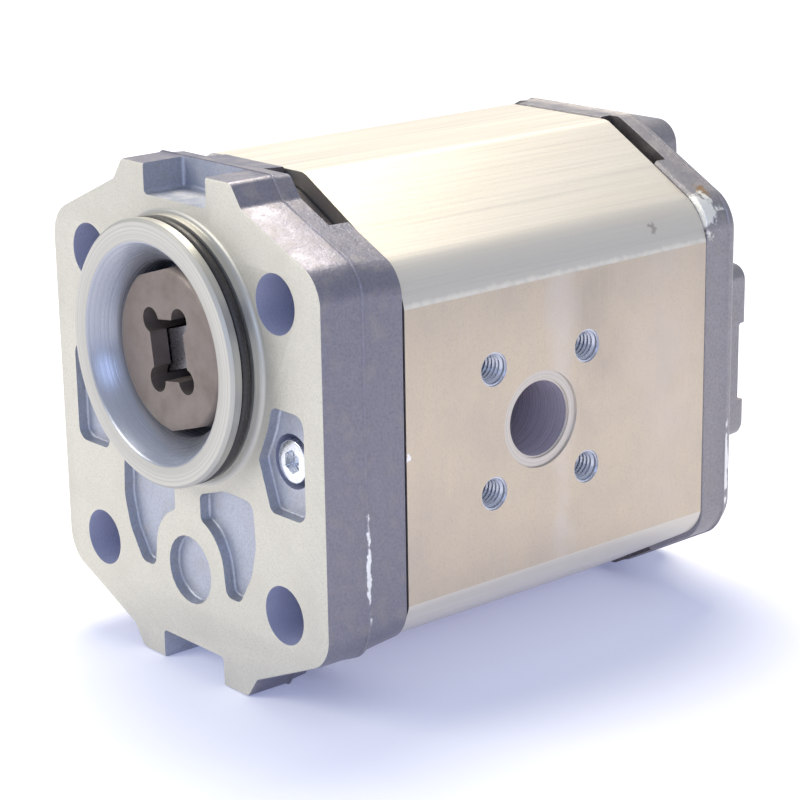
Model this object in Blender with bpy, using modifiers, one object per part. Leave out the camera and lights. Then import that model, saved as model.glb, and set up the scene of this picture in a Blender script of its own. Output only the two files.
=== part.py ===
"""External gear pump with a 60 x 60 four-bolt flange, a 52 mm spigot and a tang-drive coupling disc.

Frame: metres, +Z up, shafts along Y with the mounting face towards -Y, pressure port on +X. The origin
is at the bottom centre of the pump's box, so the pump stands on the lower lobes of its two covers.
Sections and stations are named from the middle of the 60 x 60 bolt square on the mounting face, which
place() carries into this frame.
"""

import math

import bmesh
import bpy
from mathutils import Matrix, Vector

MM = 0.001
GAP = 0.3 * MM  # between pieces that touch
CUT = 1.0 * MM  # how far a cutter runs past a surface
FINEST = 0.001 * MM  # points closer than this are one

# Outlines, seen along the shafts
COVER_HALF_WIDTH = 43.0 * MM
COVER_HALF_HEIGHT = 50.5 * MM
BODY_HALF_WIDTH = 43.1 * MM
BODY_HALF_HEIGHT = 49.3 * MM
BODY_SHOULDER_Z = 33.1 * MM
BODY_UPPER_CORNER = 12.0 * MM
BODY_LOWER_CORNER = 8.0 * MM
BODY_TOP_HALF_WIDTH = 14.6 * MM

# Stations along Y, from the mounting face
SPIGOT_FRONT = -7.2 * MM
PARTING_LINE = 9.8 * MM
FRONT_JOINT = 19.4 * MM
REAR_JOINT = 100.25 * MM
REAR_RIM = 109.7 * MM
REAR_FACE = 119.7 * MM

# Shafts, gears and bearings
SHAFT_OFFSET = 16.0 * MM  # each shaft from the middle
DRIVE_Z = SHAFT_OFFSET
DRIVEN_Z = -SHAFT_OFFSET
TEETH = 12
TIP_RADIUS = 18.4 * MM
ROOT_RADIUS = 13.2 * MM
PRESSURE_ANGLE = math.radians(28)
BACKLASH = 0.3 * MM
GEAR_WIDTH = 38.0 * MM
GEAR = ((FRONT_JOINT + REAR_JOINT - GEAR_WIDTH) / 2, (FRONT_JOINT + REAR_JOINT + GEAR_WIDTH) / 2)
SHAFT_END = 2.5 * MM  # a shaft stops this far inside a joint
JOURNAL_RADIUS = 8.95 * MM
CHAMBER_RADIUS = 18.9 * MM
BUSH_RADIUS = (9.04 * MM, 10.4 * MM)
BUSH_LENGTH = 18.0 * MM
SEAL_WAIST_X = 13.6 * MM  # centre of the arc that draws a field seal in between the shafts
BODY_SEAL_RADIUS = 22.6 * MM
BODY_SEAL_CORD = 0.95 * MM
BODY_SEAL_GROOVE = (1.35 * MM, 2.3 * MM)  # half width, depth

# Spigot, coupling and shaft seal
SPIGOT_RADIUS = 26.0 * MM
SPIGOT_GROOVE = (-5.0 * MM, -2.1 * MM)
SPIGOT_GROOVE_RADIUS = 23.4 * MM
MOUTH_RADIUS = 21.3 * MM
RECESS_RADIUS = 17.3 * MM
RECESS = (-1.4 * MM, 6.4 * MM)
SEAL_BORE_RADIUS = 15.0 * MM
SEAL_BORE_END = 16.2 * MM
RING_GROOVE = (7.1 * MM, 8.9 * MM)
RING_GROOVE_RADIUS = 15.7 * MM
SHAFT_HOLE_RADIUS = 10.2 * MM
DISC_RADIUS = 16.6 * MM
DISC = (-2.9 * MM, 6.0 * MM)
DISC_FLAT = 15.3 * MM
DISC_TURN = math.radians(17)  # anticlockwise, seen from the front
SOCKET_TURN = math.radians(8)
SOCKET = (5.5 * MM, 6.0 * MM)  # half width, half height
SOCKET_LOBE = (4.7 * MM, 5.8 * MM)  # centre of each corner relief
SOCKET_LOBE_RADIUS = 2.5 * MM
TANG = (16.0 * MM, 8.0 * MM)  # width, thickness
TANG_END = 1.3 * MM

# Bolts, screws and dowels
BOLT_OFFSET = 30.0 * MM
BOLT_HOLE_RADIUS = 5.75 * MM
SCREW_X = 31.0 * MM
SCREW_RADIUS = 2.5 * MM
SCREW_HEAD_RADIUS = 4.25 * MM
SCREW_HEAD = 5.0 * MM
SCREW_LENGTH = 27.0 * MM
HEX_ACROSS = 4.0 * MM
HEX_DEPTH = 2.6 * MM
SCREW_HOLE_DEPTH = 17.0 * MM  # in the body, from a joint
FRONT_SCREW_TOP = 2.0 * MM
REAR_SCREW_TOP = 117.0 * MM
COUNTERBORE_RADIUS = 5.3 * MM
DOWEL = (20.5 * MM, 38.5 * MM)
DOWEL_RADIUS = 2.5 * MM
DOWEL_HALF_LENGTH = 6.0 * MM

# Ports
PORT_Y = 53.95 * MM
PRESSURE_RADIUS = 7.5 * MM
PRESSURE_PATTERN_RADIUS = 17.5 * MM
SUCTION_RADIUS = 10.0 * MM
SUCTION_PATTERN_RADIUS = 20.0 * MM
TAPPED_RADIUS = 2.85 * MM
TAPPED_DEPTH = 13.0 * MM
PORT_END_X = 8.0 * MM

# Cast pockets and notches of the covers
POCKET_DEPTH = 2.3 * MM
ROUND_POCKET = (0.0, -29.0 * MM)
ROUND_POCKET_RADIUS = 6.9 * MM
NOTCH_HALF_WIDTH = 10.0 * MM
NOTCH_FLOOR_Z = 44.5 * MM
NOTCH_DEPTH = 9.5 * MM
PRY_SLOT_DEPTH = 5.0 * MM
REAR_SLOT_DEPTH = 3.6 * MM
SCREW_PAD_Z = (-10.6 * MM, 6.4 * MM)
SCREW_PAD_DEPTH = 2.1 * MM

# Sides of round shapes, by size
FINE = 48
ROUND = 24
SMALL = 16
BEARING_SIDES = 36

MATERIALS = {
    "cast_aluminium": ((0.62, 0.60, 0.58), 0.45, 1.0),
    "extruded_aluminium": ((0.78, 0.74, 0.68), 0.38, 1.0),
    "block_aluminium": ((0.70, 0.70, 0.71), 0.35, 1.0),
    "gear_steel": ((0.42, 0.42, 0.44), 0.25, 1.0),
    "sintered_steel": ((0.30, 0.26, 0.22), 0.55, 1.0),
    "seal_rubber": ((0.03, 0.028, 0.026), 0.6, 0.0),
    "backup_plastic": ((0.85, 0.82, 0.74), 0.5, 0.0),
    "bush_bronze": ((0.55, 0.38, 0.20), 0.4, 1.0),
    "zinc_steel": ((0.72, 0.73, 0.76), 0.3, 1.0),
    "spring_steel": ((0.25, 0.25, 0.27), 0.35, 1.0),
}


def place(y):
    """A station measured from the mounting face, in the pump's frame."""
    return y - (SPIGOT_FRONT + REAR_FACE) / 2


def clear_scene():
    for obj in list(bpy.data.objects):
        bpy.data.objects.remove(obj, do_unlink=True)


def new_collection(name):
    collection = bpy.data.collections.new(name)
    bpy.context.scene.collection.children.link(collection)
    return collection


def make_material(name):
    colour, roughness, metallic = MATERIALS[name]
    material = bpy.data.materials.new(name)
    material.use_nodes = True
    shader = material.node_tree.nodes["Principled BSDF"]
    shader.inputs["Base Color"].default_value = (*colour, 1.0)
    shader.inputs["Roughness"].default_value = roughness
    shader.inputs["Metallic"].default_value = metallic
    return material


def finish(obj, material):
    """A sub-part: into the pump's collection, with its material and smooth round faces."""
    pump.objects.link(obj)
    obj.data.materials.clear()
    obj.data.materials.append(materials[material])
    obj.data.shade_smooth()
    obj.data.set_sharp_from_angle(angle=math.radians(30))
    return obj


def as_cutter(obj):
    cutters.objects.link(obj)
    obj.hide_render = True
    obj.display_type = "WIRE"
    return obj


def combine(target, tool, operation="DIFFERENCE"):
    modifier = target.modifiers.new(tool.name, "BOOLEAN")
    modifier.operation = operation
    modifier.solver = "EXACT"
    modifier.object = tool


def arc(centre, radius, start, end, steps):
    """Points (x, z) on a circle, angles in degrees, both ends included."""
    angles = [math.radians(start + (end - start) * i / steps) for i in range(steps + 1)]
    return [(centre[0] + radius * math.cos(a), centre[1] + radius * math.sin(a)) for a in angles]


def rounded(corners, steps=4):
    """Closed outline through corners (x, z, radius), each corner replaced by an arc of that radius."""
    points = []
    for i, (x, z, radius) in enumerate(corners):
        here = Vector((x, z))
        before = (Vector(corners[i - 1][:2]) - here).normalized()
        after = (Vector(corners[(i + 1) % len(corners)][:2]) - here).normalized()
        half = before.angle(after) / 2
        if radius == 0:
            points.append((x, z))
            continue
        centre = here + (before + after).normalized() * (radius / math.sin(half))
        first = here + before * (radius / math.tan(half)) - centre
        last = here + after * (radius / math.tan(half)) - centre
        for step in range(steps + 1):
            spoke = first.lerp(last, step / steps).normalized() * radius
            points.append(tuple(centre + spoke))
    return points


def all_quarters(quarter):
    """Corners of a closed outline from those of its upper right quarter, listed from the side to the top."""
    upper_left = [(-x, z, r) for x, z, r in reversed(quarter)]
    lower_left = [(-x, -z, r) for x, z, r in quarter]
    lower_right = [(x, -z, r) for x, z, r in reversed(quarter)]
    return quarter + upper_left + lower_left + lower_right


def mirrored(corners):
    return [(-x, z, r) for x, z, r in reversed(corners)]


def plate(name, points, front, back):
    """A flat outline (x, z) extruded along Y between two stations."""
    curve = bpy.data.curves.new(name, "CURVE")
    curve.dimensions = "2D"
    curve.fill_mode = "BOTH"
    curve.extrude = (back - front) / 2
    spline = curve.splines.new("POLY")
    spline.points.add(len(points) - 1)
    for point, (x, z) in zip(spline.points, points):
        point.co = (x, z, 0, 1)
    spline.use_cyclic_u = True
    guide = bpy.data.objects.new(name, curve)
    guide.location = (0, place((front + back) / 2), COVER_HALF_HEIGHT)
    guide.rotation_euler = (math.pi / 2, 0, 0)
    return curve_to_mesh(guide)


def curve_to_mesh(guide):
    """The mesh of a curve object, welded, with its flat faces whole."""
    bpy.context.scene.collection.objects.link(guide)
    bpy.context.view_layer.update()
    evaluated = guide.evaluated_get(bpy.context.evaluated_depsgraph_get())
    mesh = bpy.data.meshes.new_from_object(evaluated)
    shape = bmesh.new()
    shape.from_mesh(mesh)
    bmesh.ops.remove_doubles(shape, verts=shape.verts, dist=FINEST)
    bmesh.ops.dissolve_limit(shape, angle_limit=math.radians(0.5), verts=shape.verts, edges=shape.edges)
    bmesh.ops.recalc_face_normals(shape, faces=shape.faces)
    shape.to_mesh(mesh)
    shape.free()
    name = guide.name
    matrix = guide.matrix_world.copy()
    bpy.data.objects.remove(guide, do_unlink=True)
    obj = bpy.data.objects.new(name, mesh)
    obj.matrix_world = matrix
    return obj


def turned(name, profile, x, z, steps=FINE, closed=False):
    """A turned shape on an axis along Y, from (radius, station) points front to back along its outside."""
    mesh = bpy.data.meshes.new(name)
    shape = bmesh.new()
    verts = [shape.verts.new((radius, 0, -place(station))) for radius, station in profile]
    for a, b in zip(verts, verts[1:]):
        shape.edges.new((a, b))
    if closed:
        shape.edges.new((verts[-1], verts[0]))
    shape.to_mesh(mesh)
    shape.free()
    obj = bpy.data.objects.new(name, mesh)
    obj.location = (x, 0, COVER_HALF_HEIGHT + z)
    obj.rotation_euler = (math.pi / 2, 0, 0)
    screw = obj.modifiers.new("turn", "SCREW")
    screw.axis = "Z"
    screw.angle = 2 * math.pi
    screw.steps = steps
    screw.render_steps = steps
    screw.use_merge_vertices = True
    screw.merge_threshold = FINEST
    return obj


def cylinders(name, centres, radius, front, back, steps=ROUND):
    """One object of equal cylinders along Y, one on each centre (x, z)."""
    mesh = bpy.data.meshes.new(name)
    shape = bmesh.new()
    for x, z in centres:
        spot = Vector((x, place((front + back) / 2), COVER_HALF_HEIGHT + z))
        matrix = Matrix.Translation(spot) @ Matrix.Rotation(math.pi / 2, 4, "X")
        bmesh.ops.create_cone(shape, cap_ends=True, segments=steps, radius1=radius, radius2=radius,
                              depth=back - front, matrix=matrix)
    shape.to_mesh(mesh)
    shape.free()
    return bpy.data.objects.new(name, mesh)


def side_cylinders(name, centres, radius, x_from, x_to, steps=ROUND):
    """One object of equal cylinders along X, one on each centre (station, z)."""
    mesh = bpy.data.meshes.new(name)
    shape = bmesh.new()
    for station, z in centres:
        spot = Vector(((x_from + x_to) / 2, place(station), COVER_HALF_HEIGHT + z))
        matrix = Matrix.Translation(spot) @ Matrix.Rotation(math.pi / 2, 4, "Y")
        bmesh.ops.create_cone(shape, cap_ends=True, segments=steps, radius1=radius, radius2=radius,
                              depth=abs(x_to - x_from), matrix=matrix)
    shape.to_mesh(mesh)
    shape.free()
    return bpy.data.objects.new(name, mesh)


def block(name, low, high, turn=0.0, about=(0.0, 0.0)):
    """A box between two corners (x, station, z) measured from an axis and turned about that axis."""
    mesh = bpy.data.meshes.new(name)
    shape = bmesh.new()
    size = [high[i] - low[i] for i in range(3)]
    middle = Vector([(high[i] + low[i]) / 2 for i in range(3)])
    bmesh.ops.create_cube(shape, size=1.0, matrix=Matrix.Translation(middle) @ Matrix.Diagonal((*size, 1)))
    shape.to_mesh(mesh)
    shape.free()
    obj = bpy.data.objects.new(name, mesh)
    obj.location = (about[0], place(0), COVER_HALF_HEIGHT + about[1])
    obj.rotation_euler = (0, -turn, 0)
    return obj


def square(offset):
    return [(sx * offset, sz * offset) for sx in (-1, 1) for sz in (-1, 1)]


# Outlines


def cover_outline(shoulder_z, step, lobe_half_width, half_height, corner=7 * MM):
    """A cover: flat sides, slanted shoulders up to the foot of a step, and a lobe at top and bottom."""
    quarter = [
        (COVER_HALF_WIDTH, shoulder_z, corner),
        (*step, 1.6 * MM),
        (lobe_half_width, half_height, 1.6 * MM),
    ]
    return rounded(all_quarters(quarter))


def flange_outline():
    return cover_outline(36.3 * MM, (20.6 * MM, 46.2 * MM), 17.6 * MM, COVER_HALF_HEIGHT)


def joint_outline():
    """The front cover behind its parting line, nearly down to the body's own outline."""
    return cover_outline(34.9 * MM, (19.6 * MM, 46.0 * MM), 16.9 * MM, 49.7 * MM)


def rear_outline():
    return cover_outline(34.5 * MM, (18.5 * MM, 47.8 * MM), 15.0 * MM, 49.6 * MM, 8 * MM)


def body_outline():
    """The extruded section, with larger corners at the upper edges of its sides than at the lower."""
    quarter = [
        (BODY_HALF_WIDTH, BODY_SHOULDER_Z, BODY_UPPER_CORNER),
        (BODY_TOP_HALF_WIDTH, BODY_HALF_HEIGHT, 4 * MM),
    ]
    corners = []
    for x, z, radius in all_quarters(quarter):
        if z < 0 and radius == BODY_UPPER_CORNER:
            radius = BODY_LOWER_CORNER
        corners.append((x, z, radius))
    return rounded(corners, steps=6)


def eight_outline(radius):
    """Two circles on the shafts, joined where they cross."""
    crossing = math.degrees(math.asin(SHAFT_OFFSET / radius))
    upper = arc((0, DRIVE_Z), radius, -crossing, 180 + crossing, 2 * ROUND)
    lower = arc((0, DRIVEN_Z), radius, 180 - crossing, 360 + crossing, 2 * ROUND)
    return upper + lower[1:-1]


def waisted_outline(radius, steps=SMALL):
    """A ring's edge round both shafts, drawn in between them by an arc on each side."""
    reach = math.hypot(SEAL_WAIST_X, SHAFT_OFFSET)
    slope = math.degrees(math.atan2(SHAFT_OFFSET, SEAL_WAIST_X))
    waist = reach - radius
    upper = arc((0, DRIVE_Z), radius, -slope, 180 + slope, steps)
    left = arc((-SEAL_WAIST_X, 0), waist, slope, -slope, steps // 4)
    lower = arc((0, DRIVEN_Z), radius, 180 - slope, 360 + slope, steps)
    right = arc((SEAL_WAIST_X, 0), waist, 180 + slope, 180 - slope, steps // 4)
    return upper + left[1:-1] + lower + right[1:-1]


def gear_outline(centre_z, phase):
    """Twelve involute teeth on the pitch radius that half the shaft distance gives."""
    base = SHAFT_OFFSET * math.cos(PRESSURE_ANGLE)
    pitch = 2 * math.pi / TEETH
    half_tooth = pitch / 4 - BACKLASH / 2 / SHAFT_OFFSET
    involute_at_pitch = math.tan(PRESSURE_ANGLE) - PRESSURE_ANGLE

    def half_angle(radius):
        if radius <= base:
            return half_tooth + involute_at_pitch
        angle = math.acos(base / radius)
        return half_tooth + involute_at_pitch - (math.tan(angle) - angle)

    radii = [base + (TIP_RADIUS - base) * i / 5 for i in range(6)]
    flank = [(ROOT_RADIUS, half_angle(base))] + [(r, half_angle(r)) for r in radii]
    points = []
    for tooth in range(TEETH):
        middle = phase + tooth * pitch
        for radius, half in flank:
            points.append((radius, middle - half))
        for radius, half in reversed(flank):
            points.append((radius, middle + half))
    return [(r * math.cos(a), centre_z + r * math.sin(a)) for r, a in points]


# Housing


def side_pocket():
    """Corners of the pocket round the right-hand screw. Its inner edge follows the spigot."""
    return [
        (37.3 * MM, -10.3 * MM, 2.6 * MM),
        (37.3 * MM, 10.3 * MM, 2.6 * MM),
        (28.0 * MM, 10.3 * MM, 1.6 * MM),
        (26.6 * MM, 5.6 * MM, 5.0 * MM),
        (23.6 * MM, -0.7 * MM, 1.2 * MM),
        (26.9 * MM, -10.3 * MM, 1.6 * MM),
    ]


def lower_pocket():
    """Corners of the right-hand lower pocket. Its inner edge runs round the round pocket."""
    return [
        (21.8 * MM, -18.5 * MM, 8.0 * MM),
        (21.2 * MM, -10.0 * MM, 2.2 * MM),
        (12.5 * MM, -9.7 * MM, 9.0 * MM),
        (4.2 * MM, -12.4 * MM, 1.5 * MM),
        (4.2 * MM, -17.6 * MM, 1.2 * MM),
        (10.4 * MM, -20.6 * MM, 9.0 * MM),
        (11.8 * MM, -31.4 * MM, 1.8 * MM),
        (16.2 * MM, -31.4 * MM, 2.0 * MM),
        (20.2 * MM, -25.0 * MM, 8.0 * MM),
    ]


def pry_slot(name, inner_x, front, back):
    """The four slots in a cover's joint edge, along its slanted shoulders from inner_x outwards."""
    outer_x = 26.2 * MM
    past = COVER_HALF_HEIGHT + CUT
    quarter = [
        (inner_x, past),
        (inner_x, 47.4 * MM),
        (14.2 * MM, 45.6 * MM),
        (outer_x, 39.2 * MM),
        (outer_x, past),
    ]
    slots = []
    for sx in (-1, 1):
        for sz in (-1, 1):
            slots.append(plate(name, [(sx * x, sz * z) for x, z in quarter], front, back))
    return slots


def add_front_cover():
    back = FRONT_JOINT - GAP / 2
    cover = plate("front_cover", flange_outline(), 0, PARTING_LINE)
    combine(cover, as_cutter(plate("joint_half", joint_outline(), PARTING_LINE - 2 * CUT, back)), "UNION")
    spigot = turned("spigot", [
        (0, SPIGOT_FRONT), (SPIGOT_RADIUS - 0.7 * MM, SPIGOT_FRONT), (SPIGOT_RADIUS, SPIGOT_FRONT + 0.7 * MM),
        (SPIGOT_RADIUS, SPIGOT_GROOVE[0]), (SPIGOT_GROOVE_RADIUS, SPIGOT_GROOVE[0]),
        (SPIGOT_GROOVE_RADIUS, SPIGOT_GROOVE[1]), (SPIGOT_RADIUS, SPIGOT_GROOVE[1]),
        (SPIGOT_RADIUS, 3 * MM), (0, 3 * MM),
    ], 0, DRIVE_Z)
    combine(cover, as_cutter(spigot), "UNION")
    flare = (MOUTH_RADIUS - RECESS_RADIUS) / (RECESS[0] - SPIGOT_FRONT)
    outside = SPIGOT_FRONT - 2 * CUT
    bore = turned("coupling_bore", [
        (0, outside), (RECESS_RADIUS + flare * (RECESS[0] - outside), outside), (RECESS_RADIUS, RECESS[0]),
        (RECESS_RADIUS, RECESS[1]), (SEAL_BORE_RADIUS, RECESS[1]),
        (SEAL_BORE_RADIUS, RING_GROOVE[0]), (RING_GROOVE_RADIUS, RING_GROOVE[0]),
        (RING_GROOVE_RADIUS, RING_GROOVE[1]), (SEAL_BORE_RADIUS, RING_GROOVE[1]),
        (SEAL_BORE_RADIUS, SEAL_BORE_END), (SHAFT_HOLE_RADIUS, SEAL_BORE_END),
        (SHAFT_HOLE_RADIUS, FRONT_JOINT + 2 * CUT), (0, FRONT_JOINT + 2 * CUT),
    ], 0, DRIVE_Z)
    combine(cover, as_cutter(bore))
    floor = POCKET_DEPTH
    pockets = {
        "right_pocket": side_pocket(), "left_pocket": mirrored(side_pocket()),
        "lower_right_pocket": lower_pocket(), "lower_left_pocket": mirrored(lower_pocket()),
    }
    for name, corners in pockets.items():
        combine(cover, as_cutter(plate(name, rounded(corners, 4), -CUT, floor)))
    combine(cover, as_cutter(cylinders("round_pocket", [ROUND_POCKET], ROUND_POCKET_RADIUS, -CUT, floor)))
    for side, z in (("upper", NOTCH_FLOOR_Z), ("lower", -COVER_HALF_HEIGHT - CUT)):
        top = z + COVER_HALF_HEIGHT + CUT - NOTCH_FLOOR_Z
        notch = block(side + "_notch", (-NOTCH_HALF_WIDTH, -CUT, z), (NOTCH_HALF_WIDTH, NOTCH_DEPTH, top))
        combine(cover, as_cutter(notch))
    for slot in pry_slot("front_pry_slot", 9 * MM, back - PRY_SLOT_DEPTH, back + CUT):
        combine(cover, as_cutter(slot))
    drill_cover(cover, "front", 0, back, -CUT, FRONT_SCREW_TOP + SCREW_HEAD + GAP)
    return finish(cover, "cast_aluminium")


def drill_cover(cover, side, near, far, seat_from, seat_to):
    """Bolt holes, dowel holes, and each screw's hole and counterbore."""
    low, high = min(near, far) - 2 * CUT, max(near, far) + 2 * CUT
    screws = [(-SCREW_X, 0), (SCREW_X, 0)]
    dowels = [DOWEL, (-DOWEL[0], -DOWEL[1])]
    joint = FRONT_JOINT if side == "front" else REAR_JOINT
    reach = DOWEL_HALF_LENGTH + GAP
    bolt_holes = cylinders(side + "_bolt_holes", square(BOLT_OFFSET), BOLT_HOLE_RADIUS, low, high)
    combine(cover, as_cutter(bolt_holes))
    combine(cover, as_cutter(cylinders(side + "_screw_holes", screws, SCREW_RADIUS + GAP, low, high, SMALL)))
    combine(cover, as_cutter(cylinders(side + "_dowel_holes", dowels, DOWEL_RADIUS + GAP, joint - reach,
                                       joint + reach, SMALL)))
    combine(cover, as_cutter(cylinders(side + "_seats", screws, COUNTERBORE_RADIUS, min(seat_from, seat_to),
                                       max(seat_from, seat_to))))


def add_pump_body():
    front, back = FRONT_JOINT + GAP / 2, REAR_JOINT - GAP / 2
    body = plate("pump_body", body_outline(), front, back)
    before, beyond = front - 2 * CUT, back + 2 * CUT
    combine(body, as_cutter(plate("gear_chamber", eight_outline(CHAMBER_RADIUS), before, beyond)))
    bolt_holes = cylinders("body_bolt_holes", square(BOLT_OFFSET), BOLT_HOLE_RADIUS, before, beyond)
    combine(body, as_cutter(bolt_holes))
    ports = (
        ("pressure", 1, PRESSURE_RADIUS, PRESSURE_PATTERN_RADIUS),
        ("suction", -1, SUCTION_RADIUS, SUCTION_PATTERN_RADIUS),
    )
    for name, side, radius, pattern in ports:
        outside = side * (BODY_HALF_WIDTH + 2 * CUT)
        centres = [(PORT_Y + a, b) for a, b in square(pattern / math.sqrt(2))]
        port = side_cylinders(name + "_port", [(PORT_Y, 0)], radius, side * PORT_END_X, outside)
        combine(body, as_cutter(port))
        combine(body, as_cutter(side_cylinders(name + "_threads", centres, TAPPED_RADIUS,
                                               side * (BODY_HALF_WIDTH - TAPPED_DEPTH), outside, SMALL)))
    for side, joint, inward in (("front", front, 1), ("rear", back, -1)):
        screw_end = joint + inward * SCREW_HOLE_DEPTH
        dowel_end = joint + inward * (DOWEL_HALF_LENGTH + GAP)
        outside = joint - inward * 2 * CUT
        screws = [(-SCREW_X, 0), (SCREW_X, 0)]
        dowels = [DOWEL, (-DOWEL[0], -DOWEL[1])]
        combine(body, as_cutter(cylinders(side + "_body_threads", screws, SCREW_RADIUS + GAP,
                                          min(outside, screw_end), max(outside, screw_end), SMALL)))
        combine(body, as_cutter(cylinders(side + "_body_dowel_holes", dowels, DOWEL_RADIUS + GAP,
                                          min(outside, dowel_end), max(outside, dowel_end), SMALL)))
        groove_end = joint + inward * BODY_SEAL_GROOVE[1]
        near, far = sorted((outside, groove_end))
        combine(body, as_cutter(racetrack_ring(side + "_seal_groove", BODY_SEAL_GROOVE[0], near, far)))
    return finish(body, "extruded_aluminium")


def racetrack(radius, steps=SMALL):
    upper = arc((0, DRIVE_Z), radius, 0, 180, steps)
    lower = arc((0, DRIVEN_Z), radius, 180, 360, steps)
    return upper + lower


def ring_plate(name, outer, inner, front, back):
    """A flat ring between two outlines, extruded along Y."""
    ring = plate(name, outer, front, back)
    hole = as_cutter(plate(name + "_inside", inner, front - CUT, back + CUT))
    combine(ring, hole)
    return ring


def racetrack_ring(name, half_width, front, back):
    outer = racetrack(BODY_SEAL_RADIUS + half_width)
    inner = racetrack(BODY_SEAL_RADIUS - half_width)
    return ring_plate(name, outer, inner, front, back)


def add_rear_cover():
    front = REAR_JOINT + GAP / 2
    cover = plate("rear_cover", rear_outline(), front, REAR_RIM)
    quarter = [
        (37.0 * MM, 18.5 * MM, 3 * MM), (22.0 * MM, 20.5 * MM, 6 * MM), (17.5 * MM, 27.0 * MM, 6 * MM),
        (16.5 * MM, 47.0 * MM, 5 * MM),
    ]
    boss = plate("bearing_boss", rounded(all_quarters(quarter)), REAR_RIM - 2 * CUT, REAR_FACE)
    combine(cover, as_cutter(boss), "UNION")
    inner, outer = SCREW_X - 7 * MM, SCREW_X + 10 * MM
    low, high = SCREW_PAD_Z
    for name, low_x, high_x in (("right_screw_pad", inner, outer), ("left_screw_pad", -outer, -inner)):
        pad = block(name, (low_x, REAR_FACE - SCREW_PAD_DEPTH, low), (high_x, REAR_FACE + CUT, high))
        combine(cover, as_cutter(pad))
    for slot in pry_slot("rear_pry_slot", 12.5 * MM, front - CUT, front + REAR_SLOT_DEPTH):
        combine(cover, as_cutter(slot))
    drill_cover(cover, "rear", REAR_FACE, front, REAR_FACE + CUT, REAR_SCREW_TOP - SCREW_HEAD - GAP)
    return finish(cover, "cast_aluminium")


# Gears and shafts


def journal_profile(front, back, chamfer=0.8 * MM):
    return [
        (0, front), (JOURNAL_RADIUS - chamfer, front), (JOURNAL_RADIUS, front + chamfer),
        (JOURNAL_RADIUS, back - chamfer), (JOURNAL_RADIUS - chamfer, back), (0, back),
    ]


def add_shaft(name, z, phase, front, back):
    shaft = plate(name, gear_outline(z, phase), *GEAR)
    journal = turned(name + "_journal", journal_profile(front, back), 0, z, BEARING_SIDES)
    combine(shaft, as_cutter(journal), "UNION")
    return shaft


def add_gear_shafts():
    shaft_back = REAR_JOINT - SHAFT_END
    drive = add_shaft("drive_gear_shaft", DRIVE_Z, math.radians(-90), DISC[1] + GAP, shaft_back)
    width, thickness = TANG
    tang = block("tang", (-width / 2, TANG_END, -thickness / 2), (width / 2, DISC[1] + 3 * MM, thickness / 2),
                 DISC_TURN, (0, DRIVE_Z))
    combine(drive, as_cutter(tang), "UNION")
    half_tooth = math.pi / TEETH
    driven_front = FRONT_JOINT + SHAFT_END
    driven = add_shaft("driven_gear_shaft", DRIVEN_Z, math.radians(90) + half_tooth, driven_front, shaft_back)
    finish(drive, "gear_steel")
    finish(driven, "gear_steel")


def add_bearings():
    """Both blocks with their bushes, and each block's seal and backup ring in its groove."""
    width = (11.9 * MM, 14.7 * MM)
    seal = (13.3 * MM, 14.4 * MM)
    backup = (12.2 * MM, 13.0 * MM)
    groove_depth = 2.6 * MM
    rubber = 2.3 * MM
    ends = (
        ("front", FRONT_JOINT + GAP / 2, GEAR[0] - GAP, 1),
        ("rear", REAR_JOINT - GAP / 2, GEAR[1] + GAP, -1),
    )
    for side, outside, inside, inward in ends:
        low, high = min(outside, inside), max(outside, inside)
        bearing = plate(side + "_bearing_block", eight_outline(CHAMBER_RADIUS - GAP), low, high)
        combine(bearing, as_cutter(cylinders(side + "_bush_holes", [(0, DRIVE_Z), (0, DRIVEN_Z)],
                                             BUSH_RADIUS[1] + GAP, low - CUT, high + CUT, BEARING_SIDES)))
        bottom = outside + inward * groove_depth
        edge = outside - inward * CUT
        groove = ring_plate(side + "_field_groove", waisted_outline(width[1]), waisted_outline(width[0]),
                            min(bottom, edge), max(bottom, edge))
        combine(bearing, as_cutter(groove))
        finish(bearing, "block_aluminium")
        near, far = sorted((outside, outside + inward * rubber))
        for name, (inner, outer), material in (
            ("_axial_seal", seal, "seal_rubber"),
            ("_backup_ring", backup, "backup_plastic"),
        ):
            ring = ring_plate(side + name, waisted_outline(outer), waisted_outline(inner), near, far)
            finish(ring, material)
        middle = (low + high) / 2
        for shaft, z in (("drive", DRIVE_Z), ("driven", DRIVEN_Z)):
            first, last = middle - BUSH_LENGTH / 2, middle + BUSH_LENGTH / 2
            bush = turned(f"{side}_{shaft}_bush", [
                (BUSH_RADIUS[1], first), (BUSH_RADIUS[1], last),
                (BUSH_RADIUS[0], last), (BUSH_RADIUS[0], first),
            ], 0, z, BEARING_SIDES, closed=True)
            finish(bush, "bush_bronze")


# Seals and small parts


def add_body_seals():
    """Round cord in a racetrack groove at each end of the body."""
    depth = GAP / 2 + 1.1 * MM
    for side, station in (("front", FRONT_JOINT + depth), ("rear", REAR_JOINT - depth)):
        curve = bpy.data.curves.new(side + "_body_seal", "CURVE")
        curve.dimensions = "3D"
        curve.bevel_depth = BODY_SEAL_CORD
        curve.bevel_resolution = 2
        points = racetrack(BODY_SEAL_RADIUS)
        spline = curve.splines.new("POLY")
        spline.points.add(len(points) - 1)
        for point, (x, z) in zip(spline.points, points):
            point.co = (x, place(station), COVER_HALF_HEIGHT + z, 1)
        spline.use_cyclic_u = True
        finish(curve_to_mesh(bpy.data.objects.new(side + "_body_seal", curve)), "seal_rubber")


def ring_section(radius, station, cord, count=8):
    """Closed round section of a ring, walked so that its outer side runs from front to back."""
    angles = [2 * math.pi * i / count for i in range(count)]
    return [(radius + cord * math.sin(a), station - cord * math.cos(a)) for a in angles]


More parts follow.
